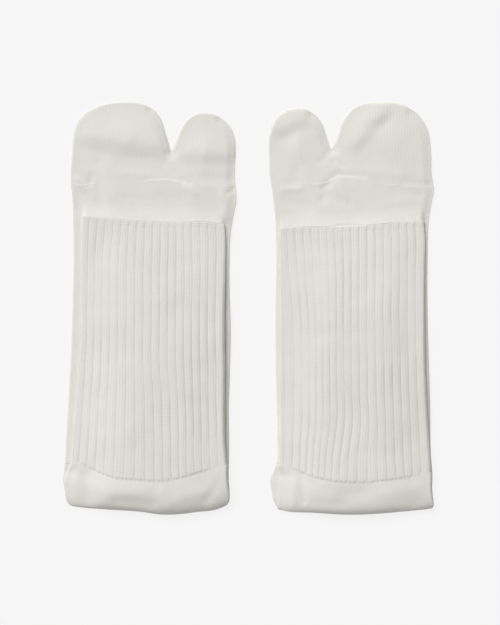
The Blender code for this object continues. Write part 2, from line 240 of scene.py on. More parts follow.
fold_strokes = {
    "left": rows(
        Stroke, (-82, -107.5, -60, -106, 4, -0.3), (-76, -112, -56, -114, 3.2, 0.6),
        (-40, -110, -24, -106, 4, -0.35), (-24, -111, -17, -102, 3, 0.45), (-93.5, -97, -93, -109, 5, 0.7),
        (-50, -107, -46, -114, 4, -0.4),
    ),
    "right": rows(
        Stroke, (31, -97, 32.5, -112, 2.1, 0.5), (27, -100, 26, -114, 2, -0.3),
        (54, -110, 66, -107, 4.5, 0.45), (38, -113, 56, -114, 3, 0.35), (80, -108, 98, -104, 4, -0.35),
        (96, -113, 106, -111, 3, 0.3),
    ),
}

leg_strokes = {
    "left": rows(
        Stroke, (-40, 0, -22, -10, 7, 0.4), (-88, 30, -84, 44, 5, 0.3), (-60, -40, -66, -70, 7, -0.25),
        (-30, -56, -22, -84, 6, 0.3), (-78, 8, -70, -22, 8, 0.25),
    ),
    "right": rows(
        Stroke, (36, 20, 42, -14, 6, 0.4), (90, 10, 94, -24, 6, 0.25), (50, -70, 46, -92, 6, 0.35),
        (72, -20, 76, -60, 8, -0.25), (58, 34, 66, 12, 7, 0.25),
    ),
}

rib_leans = {
    "left": rows(Lean, (-52, 26, -22, -84, 4.2), (-80, 16, 50, 20, -1.2)),
    "right": rows(Lean, (30, 18, 46, -16, 4.4), (50, 20, -56, -97, -4.6)),
}

# %% [markdown]
# ## Curves, noise and strokes
#
# A few small tools shape everything. A smooth curve through a table's rows gives an edge or a line. A soft,
# seeded noise gives the slow waviness that no hand-placed fold covers, and each sock draws its own. The
# depth of the strokes at a point is the sum of round-ended troughs, one for each row, and a slope is a long
# one-sided swell.

# %% Shape tools
def curve_through(places, values, wanted):
    """A smooth curve through rows sorted by place, read at the wanted places."""
    places = np.asarray(places, float)
    values = np.asarray(values, float)
    slopes = np.gradient(values, places)
    wanted = np.clip(wanted, places[0], places[-1])
    index = np.clip(np.searchsorted(places, wanted) - 1, 0, len(places) - 2)
    span = places[index + 1] - places[index]
    t = (wanted - places[index]) / span
    return (
        values[index] * (1 + 2 * t) * (1 - t) ** 2
        + slopes[index] * span * t * (1 - t) ** 2
        + values[index + 1] * t * t * (3 - 2 * t)
        + slopes[index + 1] * span * t * t * (t - 1)
    )


def along_table(table, place, value, wanted):
    """A curve through one column of a table, against another."""
    ordered = sorted(table, key=lambda row: getattr(row, place))
    return curve_through(*([getattr(row, key) for row in ordered] for key in (place, value)), wanted)


def edge_at(edges, side, y):
    return along_table(edges, "y", side, y)


def raised(points, rise):
    return tuple(Point(point.x, point.y + rise) for point in points)


def line_at(points, x):
    return along_table(points, "x", "y", x)


def smooth_step(low, high, value):
    t = np.clip((value - low) / (high - low), 0.0, 1.0)
    return t * t * (3 - 2 * t)


LATTICE = 64


def soft_noise(x, y, cell, seed):
    """Slow waves between -1 and 1, with hills about a cell apart."""
    lattice = np.random.default_rng(seed).uniform(-1, 1, (LATTICE, LATTICE))
    column = np.asarray(x) / cell + LATTICE // 2
    row = np.asarray(y) / cell + LATTICE // 2
    i = np.floor(column).astype(int)
    j = np.floor(row).astype(int)
    s = smooth_step(0, 1, column - i)
    t = smooth_step(0, 1, row - j)
    i, j, next_i, next_j = (place % LATTICE for place in (i, j, i + 1, j + 1))
    top = lattice[i, j] * (1 - s) + lattice[next_i, j] * s
    bottom = lattice[i, next_j] * (1 - s) + lattice[next_i, next_j] * s
    return top * (1 - t) + bottom * t


Wave = namedtuple("Wave", "height cell seed")
SEED_OF = {"left": 0, "right": 100}


def waves_at(waves, name, x, y):
    """The sum of a table's waves, from the named sock's own seeds."""
    return sum(wave.height * soft_noise(x, y, wave.cell, SEED_OF[name] + wave.seed) for wave in waves)


def distance_to_run(x, y, x_from, y_from, x_to, y_to):
    dx = x_to - x_from
    dy = y_to - y_from
    share = np.clip(((x - x_from) * dx + (y - y_from) * dy) / (dx * dx + dy * dy), 0, 1)
    return np.hypot(x - x_from - share * dx, y - y_from - share * dy)


def stroke_depth(strokes, x, y):
    depth = np.zeros(np.shape(x))
    for stroke in strokes:
        away = distance_to_run(x, y, stroke.x_from, stroke.y_from, stroke.x_to, stroke.y_to)
        depth += stroke.depth * np.exp(-((away / stroke.half_width) ** 2))
    return depth


SLOPE_END = 0.2


def slope_rise(slopes, x, y):
    """The height of the slopes at a point. Each fades in and out over a share of its run at both ends."""
    rise = np.zeros(np.shape(x))
    for slope in slopes:
        run = np.array([slope.x_to - slope.x_from, slope.y_to - slope.y_from])
        length = np.hypot(*run)
        along = ((x - slope.x_from) * run[0] + (y - slope.y_from) * run[1]) / length**2
        across = ((y - slope.y_from) * run[0] - (x - slope.x_from) * run[1]) / length
        ends = smooth_step(-SLOPE_END, SLOPE_END, along) * smooth_step(1 + SLOPE_END, 1 - SLOPE_END, along)
        behind = np.clip(across / slope.reach - 1, 0, None)
        rise += slope.rise * ends * smooth_step(0, slope.reach, across) * np.exp(-(behind**2))
    return rise


# %% [markdown]
# ## From a grid of points to cloth
#
# Each piece is a grid: rings of points round the flattened tube, one ring after another along it. The grid
# becomes a mesh with a UV map counted in stitches, so the knit pattern follows the cloth round its edges
# and along its folds. Solidify then gives the skin the thickness of one ply, inwards, which leaves the
# outer shape as it was drawn.

# %% Grid to mesh
pieces = {}


def cloth_from_grid(name, points, stitches, wrapped, extra=None):
    """Makes an object from points (rings, around, 3) in mm and stitches (rings, around, 2)."""
    rings, around = points.shape[:2]
    index = np.arange(rings * around).reshape(rings, around)
    last = around if wrapped else around - 1
    after = np.roll(index, -1, axis=1)
    quads = np.stack([index[:-1, :last], after[:-1, :last], after[1:, :last], index[1:, :last]], axis=-1)
    mesh = bpy.data.meshes.new(name)
    mesh.from_pydata((points.reshape(-1, 3) * MM).tolist(), [], quads.reshape(-1, 4).tolist())
    layer = mesh.uv_layers.new(name="stitches")
    if wrapped:
        first = stitches[:, :1].copy()
        first[..., 0] += 2 * stitches[:, -1:, 0] - stitches[:, -2:-1, 0] - stitches[:, :1, 0]
        stitches = np.concatenate([stitches, first], axis=1)
    corner = np.stack([stitches[:-1, :-1], stitches[:-1, 1:], stitches[1:, 1:], stitches[1:, :-1]], axis=2)
    layer.data.foreach_set("uv", corner.reshape(-1).astype(np.float32))
    # The groove attribute holds the rib's relief, which the rib knit turns into painted shade in its grooves
    if extra is not None:
        attribute = mesh.attributes.new("groove", "FLOAT", "POINT")
        attribute.data.foreach_set("value", extra.reshape(-1).astype(np.float32))
    piece = bpy.data.objects.new(name, mesh)
    bpy.context.scene.collection.objects.link(piece)
    pieces[name] = piece
    return piece


SHARP_ABOVE = 50
MERGE_WITHIN = 0.01


def finish_cloth(piece, thickness=PLY):
    """Merges what coincides, gives the ply its thickness inwards and shades it smooth."""
    bpy.ops.object.select_all(action="DESELECT")
    piece.select_set(True)
    bpy.context.view_layer.objects.active = piece
    bpy.ops.object.mode_set(mode="EDIT")
    bpy.ops.mesh.select_all(action="SELECT")
    bpy.ops.mesh.remove_doubles(threshold=MERGE_WITHIN * MM)
    bpy.ops.mesh.normals_make_consistent(inside=False)
    bpy.ops.object.mode_set(mode="OBJECT")
    wall = piece.modifiers.new("ply", "SOLIDIFY")
    wall.thickness = thickness * MM
    wall.offset = -1.0
    bpy.ops.object.modifier_apply(modifier=wall.name)
    bpy.ops.object.shade_smooth_by_angle(angle=math.radians(SHARP_ABOVE))
    piece.select_set(False)
    print(piece.name, len(piece.data.polygons), "faces")


# %% [markdown]
# ## The section of a flattened tube
#
# Going round a flattened tube there is the ply beneath, a rounded edge at the right, the ply on top and a
# rounded edge at the left. The helper returns each point's place, its outward direction and how far round
# it is, so that ribs and stitches can be counted along the cloth and pressed in square to its surface. The
# cloth round an edge is counted as if the tube were equally thick everywhere, or the ribs would bend where
# it is pressed thin.

# %% Flattened section
Ring = namedtuple("Ring", "x z nx nz around girth top")
EDGE_FULLNESS = 0.75
COUNTED_RADIUS = 2.3
ARC_EXTRA = (math.pi - 2) * COUNTED_RADIUS


def flattened_rings(left, right, round_left, round_right, count_top, count_edge, count_beneath):
    """Rings for arrays of edges, listed left to right beneath and back on top, with heights from 0 to 1."""
    arrays = (left, right, round_left, round_right)
    left, right, round_left, round_right = (np.asarray(v, float)[:, None] for v in arrays)
    wide = right - left
    flat = wide - round_left - round_right
    beneath = np.linspace(0, 1, count_beneath, endpoint=False)[None, :]
    on_top = np.linspace(0, 1, count_top, endpoint=False)[None, :]
    turn = np.linspace(0, 1, count_edge, endpoint=False)[None, :]
    angle = math.pi * (turn - 0.5)
    out = np.clip(np.cos(angle), 0, 1) ** EDGE_FULLNESS
    one = np.ones_like(flat)
    x = [
        left + round_left + flat * beneath, right - round_right * (1 - out),
        right - round_right - flat * on_top, left + round_left * (1 - out),
    ]
    z = [0 * flat * beneath, one * (1 + np.sin(angle)) / 2, one + 0 * on_top, one * (1 - np.sin(angle)) / 2]
    nx = [0 * one * beneath, one * np.cos(angle), 0 * one * on_top, -one * np.cos(angle)]
    nz = [-one + 0 * beneath, one * np.sin(angle), one + 0 * on_top, -one * np.sin(angle)]
    around = [
        round_left + flat * beneath, wide - round_right + (2 * round_right + ARC_EXTRA) * turn,
        wide + ARC_EXTRA + round_right + flat * on_top,
        2 * wide + ARC_EXTRA - round_left + (2 * round_left + ARC_EXTRA) * turn,
    ]
    x, z, nx, nz, around = (np.concatenate(parts, axis=1) for parts in (x, z, nx, nz, around))
    return Ring(x, z, nx, nz, around, 2 * (wide + ARC_EXTRA), np.clip(nz, 0, 1))


Run = namedtuple("Run", "start rings")


def ring_shares(runs):
    """Shares from 0 to 1 for runs of rings: a row says where a run starts and how many rings it has."""
    ends = [run.start for run in runs[1:]] + [1]
    return np.concatenate([
        np.linspace(run.start, end, run.rings, endpoint=end == 1) for run, end in zip(runs, ends)
    ])


def ring_heights(start, end, shares, x):
    """The y of each ring at each x: rings go evenly from the start line to the end line."""
    first = line_at(start, x)
    return first + (line_at(end, x) - first) * shares[:, None]


EDGE_TRIES = 4


def edges_between(edges, start, end, shares):
    """Left and right edge of each ring between two crossing lines, by closing in on them."""
    found = []
    for side in ("left", "right"):
        x = np.full(len(shares), edge_at(edges, side, np.array([0.0]))[0])
        for _ in range(EDGE_TRIES):
            first = line_at(start, x)
            y = first + (line_at(end, x) - first) * shares
            x = edge_at(edges, side, y)
        found.append(x)
    return found


# %% [markdown]
# ## The height of toe and foot
#
# Toe and foot are one soft tube, so one function gives their height, from a point's distance to the
# outline: a tight rounded edge, then a slow swell, waves and the folds of the table. The right edges were
# pressed thinnest. Just before the cuff the instep climbs to the height of the rim, because the tube is
# propped open there, and then it dives beneath the leg. The sole is pressed flat, with a few shallow dents
# that face the floor.

# %% Height of toe and foot
EDGE_RADIUS = 1.2
EDGE_POWER = 2.8
RISE = 1.0
RISE_REACH = 28.0
RIGHT_FALL = 1.0
RIGHT_REACH = 6.0
CLIMB_LENGTH = 9.0
CLIMB = 1.4
CLIMB_POWER = 1.7
CLIMB_END = 0.05
DIVE = 2.5
SIDE_DIVE = 18.0
LEG_EDGE_ZONE = (-1.0, 0.6)
CLIMB_EDGE_ZONE = (-1.0, 2.0)
UNDER_MOUTH = 0.9
UNDER_LEG = 2.2
UNDER_REACH = 30.0
UNDER_LENGTH = 60.0
INSTEP_WAVES = rows(Wave, (0.16, 13.0, 1), (0.05, 5.0, 2))
SOLE_WAVES = rows(Wave, (0.1, 11.0, 10))
SOLE_LIFT = 0.1


def under_leg_rise(sock, x, y, distance):
    """How far the foot's upper ply stands above its edge, where the leg lies on it."""
    back = smooth_step(0, UNDER_LENGTH, line_at(sock.cuff, x) - y)
    return (UNDER_MOUTH + (UNDER_LEG - UNDER_MOUTH) * back) * smooth_step(0, UNDER_REACH, distance)


def body_height(name, sock, x, y, distance, from_right):
    """Heights of the upper and lower ply."""
    near = np.clip(distance / EDGE_RADIUS, 0, 1)
    round_side = EDGE_RADIUS * (1 - (1 - near) ** EDGE_POWER) ** (1 / EDGE_POWER)
    before_cuff = y - line_at(sock.cuff, x)
    beside_leg = np.maximum(edge_at(sock.leg, "left", y) - x, x - edge_at(sock.leg, "right", y))
    dive = DIVE + SIDE_DIVE * smooth_step(*LEG_EDGE_ZONE, beside_leg)
    shown = smooth_step(0, 1, (before_cuff - CLIMB_END + dive) / dive)
    rise = RISE * smooth_step(0, RISE_REACH, distance)
    pressed = 1 - shown * RIGHT_FALL / EDGE_RADIUS * smooth_step(RIGHT_REACH, 0, from_right)
    waves = waves_at(INSTEP_WAVES, name, x, y)
    climb = CLIMB * np.clip(1 - before_cuff / CLIMB_LENGTH, 0, 1) ** CLIMB_POWER
    climb = climb * smooth_step(*CLIMB_EDGE_ZONE, -beside_leg)
    slopes = slope_rise(lobe_slopes[name], x, y)
    folded = rise + waves + climb + slopes - stroke_depth(instep_strokes[name], x, y)
    over_edge = shown * folded + (1 - shown) * under_leg_rise(sock, x, y, distance)
    dents = stroke_depth(sole_strokes[name], x, y) + SOLE_LIFT + waves_at(SOLE_WAVES, name, x, y)
    return EDGE_RADIUS + round_side * pressed + near * over_edge, EDGE_RADIUS - round_side + near * dents


# %% [markdown]
# ## The toe
#
# The toe is a pocket in two lobes. Its outline is a smooth path up the left side, round one lobe to the
# crotch, and round the other down the right side. Columns of stitches then run from the seam to the outline
# on both plies, fanning out into the lobes as they do when a toe is shaped.

# %% Toe pieces
TOE_COLUMNS = 300
TOE_ROWS = 42
EDGE_ROWS = 9
EVEN_SHARE = 0.45
TINY = 1e-6
FACES_RIGHT = 0.6


def smooth_path(points, steps):
    """Points a like distance apart on a smooth path."""
    corners = np.array(points)
    places = np.concatenate([[0], np.cumsum(np.hypot(*np.diff(corners, axis=0).T))])
    wanted = np.linspace(0, places[-1], steps)
    return np.stack([curve_through(places, corners[:, k], wanted) for k in (0, 1)], axis=1)


def toe_outline(sock):
    half = TOE_COLUMNS // 2
    left, right = (smooth_path(lobe, half + 1) for lobe in (sock.left_lobe, sock.right_lobe))
    return np.concatenate([left, right[1:]])


def distance_to_outline(x, y, outline, right_side=False):
    """The distance to the outline, or to the stretches of it that face right."""
    nearest = np.full(np.shape(x), np.inf)
    for (x_from, y_from), (x_to, y_to) in zip(outline[:-1], outline[1:]):
        if not right_side or y_from - y_to > FACES_RIGHT * np.hypot(x_to - x_from, y_to - y_from):
            nearest = np.minimum(nearest, distance_to_run(x, y, x_from, y_from, x_to, y_to))
    return nearest


def make_toe(name, sock):
    outline = toe_outline(sock)
    left, right = outline[0, 0], outline[-1, 0]
    even = np.linspace(0, 1, TOE_COLUMNS + 1)
    below = np.clip((outline[:, 0] - left) / (right - left), 0, 1)
    share = EVEN_SHARE * even + (1 - EVEN_SHARE) * below
    root_x = left + (right - left) * share
    root = np.stack([root_x, line_at(sock.seam, root_x)], axis=1)
    length = np.hypot(*(outline - root).T)
    near = np.minimum(EDGE_RADIUS, length / 2)
    bend = 1 - np.cos(np.linspace(0, math.pi / 2, EDGE_ROWS))
    body = np.linspace(0, 1, TOE_ROWS - EDGE_ROWS + 1)[1:]
    near = near[:, None]
    inwards = np.concatenate([near * bend, near + (length[:, None] - near) * body], axis=1)
    part = inwards / np.maximum(length, TINY)[:, None]
    grid = outline[:, None, :] + (root - outline)[:, None, :] * part[..., None]
    x, y = grid[..., 0], grid[..., 1]
    away, from_right = (distance_to_outline(x, y, outline, right_side) for right_side in (False, True))
    top, beneath = body_height(name, sock, x, y, away, from_right)
    upper, lower = (np.stack([x, y, z], axis=-1)[:, ::-1].transpose(1, 0, 2) for z in (top, beneath))
    columns = np.broadcast_to(root_x[None, :] / WALE, upper.shape[:2])
    courses = (length[:, None] - inwards)[:, ::-1].T / COURSE
    stitches = np.stack([columns, courses], axis=-1)
    sheet = np.concatenate([upper, lower[::-1]], axis=0)
    counted = np.concatenate([stitches, stitches[::-1]], axis=0)
    return cloth_from_grid(name + "_toe_knit", sheet, counted, wrapped=False)


for name, sock in socks.items():
    finish_cloth(make_toe(name, sock))

# %% [markdown]
# ## The foot
#
# The foot is the plain tube beneath the leg. Its two edges stay in view beside the leg, and only its front
# shows its top, so most rings go there. Its back end is tucked a little into the heel, so that no gap opens
# between them.

# %% Foot pieces
FOOT_WALES = 144
FOOT_TUCK = 0.4
FOOT_RUNS = rows(Run, (0.0, 28), (0.1, 34), (0.15, 32))
# How many steps a ring has on top, round each edge and beneath
FOOT_STEPS = (150, 14, 75)


def foot_rings(name, sock, start, end, shares, steps):
    left, right = edges_between(sock.foot, start, end, shares)
    rounded = np.full_like(left, EDGE_RADIUS)
    ring = flattened_rings(left, right, rounded, rounded, *steps)
    y = ring_heights(start, end, shares, ring.x)
    from_right = np.clip(right[:, None] - ring.x, 0, None)
    edge = np.clip(np.minimum(ring.x - left[:, None], from_right), 0, None)
    top, beneath = body_height(name, sock, ring.x, y, edge, from_right)
    return ring, y, np.where(ring.z > 0.5, top, beneath)


def make_foot(name, sock):
    end = raised(sock.turn, -FOOT_TUCK)
    ring, y, z = foot_rings(name, sock, sock.seam, end, ring_shares(FOOT_RUNS), FOOT_STEPS)
    wales = FOOT_WALES * ring.around / ring.girth
    stitches = np.stack([wales, (line_at(sock.seam, ring.x) - y) / COURSE], axis=-1)
    return cloth_from_grid(name + "_foot_knit", np.stack([ring.x, y, z], axis=-1), stitches, wrapped=True)


for name, sock in socks.items():
    finish_cloth(make_foot(name, sock))

# %% [markdown]
# ## The toe seam
#
# The toe is linked to the foot stitch by stitch, which leaves a low cord of thread all round. It is a
# narrow arch over both edges, and it sinks where the hand has smoothed it.

# %% Toe seams
SEAM_HALF_WIDTH = 1.1
SEAM_PLY = 0.5
SEAM_SINK = 0.1
SEAM_FULLNESS = 0.65
SEAM_EVEN = 0.6
SEAM_WAVES = rows(Wave, (0.5, 6.0, 20))
SEAM_BELOW = 0.02
SEAM_RINGS = 9
SEAM_STEPS = (260, 14, 130)


def cord_rise(sock, x):
    return SEAM_FULLNESS * along_table(sock.seam, "x", "rise", x)


def make_seam(name, sock):
    shares = np.linspace(0, 1, SEAM_RINGS)
    start, end = raised(sock.seam, SEAM_HALF_WIDTH), raised(sock.seam, -SEAM_HALF_WIDTH)
    ring, y, z = foot_rings(name, sock, start, end, shares, SEAM_STEPS)
    arch = 1 - (2 * shares[:, None] - 1) ** 2
    uneven = SEAM_EVEN + waves_at(SEAM_WAVES, name, ring.x, 0 * y)
    rise = (cord_rise(sock, ring.x) * uneven + SEAM_SINK) * arch - SEAM_SINK
    rise = np.where(ring.nz < 0.5, np.minimum(rise, SEAM_BELOW), rise)
    points = np.stack([ring.x + ring.nx * rise, y, z + ring.nz * rise], axis=-1)
    stitches = np.stack([ring.around / WALE, shares[:, None] + 0 * y], axis=-1)
    return cloth_from_grid(name + "_toe_seam", points, stitches, wrapped=True)


for name, sock in socks.items():
    finish_cloth(make_seam(name, sock), thickness=SEAM_PLY)

# %% [markdown]
# ## The ribs
#
# In this rib knit two wales stand forward and the third falls back, so the tube is fluted all the way
# round. A groove is a narrow valley, pressed in square to the cloth, and the rib between two grooves is
# nearly flat. The ribs are counted round the tube, which keeps them whole at the edges, and they lean and
# deepen unevenly, because the leg was laid over by hand.

# %% Rib profile
GROOVE_HALF_WIDTH = 0.7
FIRST_RIB = 0.38
GROOVE_DEPTH = 0.2
RIB_CROWN = 0.07
WALE_DEPTH = 0.02
LEFT_EDGE_FADE = 5.0
RIB_WANDER = rows(Wave, (0.35, 17.0, 3))
OWN_DEPTH = 0.8
OWN_DEPTH_WAVES = rows(Wave, (0.45, 21.0, 4))
OWN_DEPTH_NICKS = rows(Wave, (0.25, 6.0, 5))
# These set neighbouring ribs apart in the noise, so that each has a depth of its own
RIB_APART = 7.3
NICK_APART = 3.1


def lean_of(name, x, y):
    shift = np.zeros(np.shape(x))
    for lean in rib_leans[name]:
        fall = smooth_step(0, 1, (lean.y_from - y) / (lean.y_from - lean.y_to))
        shift += lean.shift * fall * np.exp(-(((x - lean.x) / lean.half_width) ** 2))
    return shift


def rib_relief(name, ring, y):
    """How far the ribs stand back from the tube's outer form, and the count of ribs round it."""
    wander = lean_of(name, ring.x, y) + waves_at(RIB_WANDER, name, ring.x, y)
    count = RIBS_ROUND * (ring.around + ring.top * wander) / ring.girth + FIRST_RIB
    whole = np.round(count)
    away = (count - whole) * ring.girth / RIBS_ROUND
    own = OWN_DEPTH + waves_at(OWN_DEPTH_WAVES, name, whole * RIB_APART, y)
    own += waves_at(OWN_DEPTH_NICKS, name, whole * NICK_APART, y)
    smoothed = smooth_step(0.0, LEFT_EDGE_FADE, ring.x - ring.x.min(axis=1, keepdims=True))
    groove = GROOVE_DEPTH * own * smoothed * np.exp(-((away / GROOVE_HALF_WIDTH) ** 2))
    groove += RIB_CROWN * own * smoothed * (1 + np.cos(2 * math.pi * count)) / 2
    wales = WALE_DEPTH * (1 + np.cos(2 * math.pi * WALES_PER_RIB * count)) / 2
    return groove + wales, count


# %% [markdown]
# ## The leg and its cuff
#
# The leg lies on the foot from the heel's fold up to the cuff. Its rings go from the cuff's line to the
# line where the rib ends, so both lines bend as they do on the real sock. It is thickest by the fold and
# thins all the way to the cuff, a narrow welt of two plies, whose mouth is a flat slit. The ribs run into
# the welt and grow faint. Where they end, the thick rib steps down to the plain heel in a line of small
# pits.

# %% Leg and cuff pieces
MOUTH_THICK = 1.35
THINNING_LENGTH = 80.0
THINNING_POWER = 1.6
EDGE_REACH = 34.0
WELT_GROOVE = 0.06
RIM_ROUND = 0.6
WELT_GROOVE_HALF_WIDTH = 0.45
WELT_RIBS_FROM = 0.2
EDGE_CALM = 12.0
RIM_CALM = 16.0
LEG_WAVES = rows(Wave, (0.22, 19.0, 6), (0.07, 7.0, 7))
LEG_RUNS = rows(Run, (0.0, 16), (0.08, 84), (0.96, 16))
CUFF_RUNS = rows(Run, (0.0, 6), (0.2, 12))
# How many steps a ring has on top, round each edge and beneath
LEG_STEPS = (236, 16, 78)
TURN_STEP = 0.38
STEP_ZONE = (1.5, -1.1)
STEP_FADES = (-22.0, -3.0)
STEP_ENDS = (6.0, 16.0)
RIBS_END = (-0.4, 1.4)
TURN_PITS = 0.1
PIT_LENGTH = 0.9
PIT_SWING = 0.9
PIT_UNEVEN = 0.6
PIT_CELL = 7.0
PIT_SEED = 31


def leg_bed(sock, x, y, from_foot_edge):
    """Height at which the leg's lower ply lies on the foot."""
    return 2 * EDGE_RADIUS + LAYER_GAP + under_leg_rise(sock, x, y, np.clip(from_foot_edge, 0, None))


def leg_thickness(sock, from_left, from_right, from_rim):
    """The leg is pressed thin at its edges, each in its own measure, and at its mouth."""
    at_left = (LEG_THICK - sock.thin_left) * smooth_step(EDGE_REACH, 0, from_left)
    at_right = (LEG_THICK - sock.thin_right) * smooth_step(EDGE_REACH, 0, from_right)
    opened = 1 - np.clip(1 - from_rim / THINNING_LENGTH, 0, 1) ** THINNING_POWER
    return MOUTH_THICK + (LEG_THICK - at_left - at_right - MOUTH_THICK) * opened


def upper_lift(name, x, y, edge):
    """The waves and folds on top of the leg and the heel's fold, which are one stretch of cloth."""
    strokes = leg_strokes[name] + fold_strokes[name]
    return smooth_step(0, EDGE_CALM, edge) * (waves_at(LEG_WAVES, name, x, y) - stroke_depth(strokes, x, y))


def leg_rings(name, sock, start, end, shares, from_rim):
    left, right = edges_between(sock.leg, start, end, shares)
    zero = np.zeros_like(left)
    round_left = leg_thickness(sock, zero, zero + EDGE_REACH, from_rim) / 2
    round_right = leg_thickness(sock, zero + EDGE_REACH, zero, from_rim) / 2
    ring = flattened_rings(left, right, round_left, round_right, *LEG_STEPS)
    y = ring_heights(start, end, shares, ring.x)
    from_left, from_right = ring.x - left[:, None], right[:, None] - ring.x
    foot_left, foot_right = (edge_at(sock.foot, side, y) for side in ("left", "right"))
    from_foot_edge = np.minimum(ring.x - foot_left, foot_right - ring.x)
    thick = leg_thickness(sock, from_left, from_right, from_rim[:, None])
    lift = ring.top * upper_lift(name, ring.x, y, np.minimum(from_left, from_right))
    lift = lift * smooth_step(0, RIM_CALM, from_rim[:, None])
    return ring, y, leg_bed(sock, ring.x, y, from_foot_edge) + thick * ring.z + lift


def turn_step(sock, x, y):
    """How far the cloth steps down from the thick rib to the plain heel, with a pit at every other wale."""
    from_turn = y - line_at(sock.turn, x)
    down = smooth_step(*STEP_ZONE, from_turn) * smooth_step(*STEP_FADES, from_turn)
    uneven = PIT_UNEVEN * soft_noise(x, 0 * x, PIT_CELL, PIT_SEED)
    pits = 1 + PIT_SWING * np.cos(math.pi * x / WALE) + uneven
    from_end = np.minimum(x - sock.turn[0].x, sock.turn[-1].x - x)
    pits = TURN_PITS * pits * np.exp(-((from_turn / PIT_LENGTH) ** 2))
    return smooth_step(*STEP_ENDS, from_end) * (TURN_STEP * down + pits)


def make_leg(name, sock):
    start = raised(sock.cuff, -WELT)
    shares = ring_shares(LEG_RUNS)
    length = start[0].y - sock.turn[0].y
    ring, y, z = leg_rings(name, sock, start, sock.turn, shares, WELT + shares * length)
    relief, count = rib_relief(name, ring, y)
    relief *= smooth_step(*RIBS_END, y - line_at(sock.turn, ring.x))
    press = relief + ring.top * turn_step(sock, ring.x, y)
    points = np.stack([ring.x - ring.nx * press, y, z - ring.nz * press], axis=-1)
    stitches = np.stack([count * WALES_PER_RIB, (line_at(sock.cuff, ring.x) - y) / COURSE], axis=-1)
    return cloth_from_grid(name + "_leg_rib", points, stitches, wrapped=True, extra=relief / GROOVE_DEPTH)


def make_cuff(name, sock):
    shares = ring_shares(CUFF_RUNS)
    ring, y, z = leg_rings(name, sock, sock.cuff, raised(sock.cuff, -WELT), shares, shares * WELT)
    relief, count = rib_relief(name, ring, y)
    from_rim = line_at(sock.cuff, ring.x) - y
    into_rim = 1 - np.clip(from_rim / RIM_ROUND, 0, 1)
    rim = RIM_ROUND * (1 - np.sqrt(np.clip(1 - into_rim**2, 0, 1)))
    line = WELT_GROOVE * np.exp(-(((from_rim - WELT) / WELT_GROOVE_HALF_WIDTH) ** 2))
    press = relief * smooth_step(WELT_RIBS_FROM, WELT, from_rim) + rim + line
    points = np.stack([ring.x - ring.nx * press, y, z - ring.nz * press], axis=-1)
    stitches = np.stack([count * WALES_PER_RIB, from_rim / COURSE], axis=-1)
    return cloth_from_grid(name + "_cuff_welt", points, stitches, wrapped=True, extra=relief / GROOVE_DEPTH)


for name, sock in socks.items():
    finish_cloth(make_leg(name, sock), thickness=RIB_PLY)
    finish_cloth(make_cuff(name, sock), thickness=RIB_PLY)

# %% [markdown]
# ## The heel's fold
#
# The heel is the bulge of cloth that turns the foot into the leg. Folded, it is a rounded roll: its top
# comes down in a long curve to a thin nose, and its underside stays flat till near the nose. At each side
# two layers show, with a groove between them, and the lower one sticks out like an ear. Its height is
# worked out as a share of the full fold and scaled to the foot and leg that it joins.

# %% Heel pieces
FOLD_THICK = 2 * EDGE_RADIUS + LAYER_GAP + UNDER_LEG + LEG_THICK
FOLD_TIP = 1.4
TOP_FALLS_FROM = 0.1
SOLE_RISES_FROM = 0.62
FOLD_SPLIT = 0.47
EAR_SPLIT = 0.6
SIDE_SHARE = 0.55
CORNER_ROUND = 1.6
CORNER_FROM = 0.86
LAYER_GROOVE = 0.85
GROOVE_FADE = 0.6
EAR_PRESS = 1.1
EAR_PRESSED_FROM = 0.25
EAR_REACH = 8.0
NOSE_FROM = 0.12
NOSE_ROUNDNESS = 1.6
BACK_RINGS = 12
NOSE_RINGS = 40
NOSE_CALM = 0.9
STEP_SHARES = (0.6, 0.95)
FOLD_FLAT_STEPS = 136
FOLD_EDGE_STEPS = 10


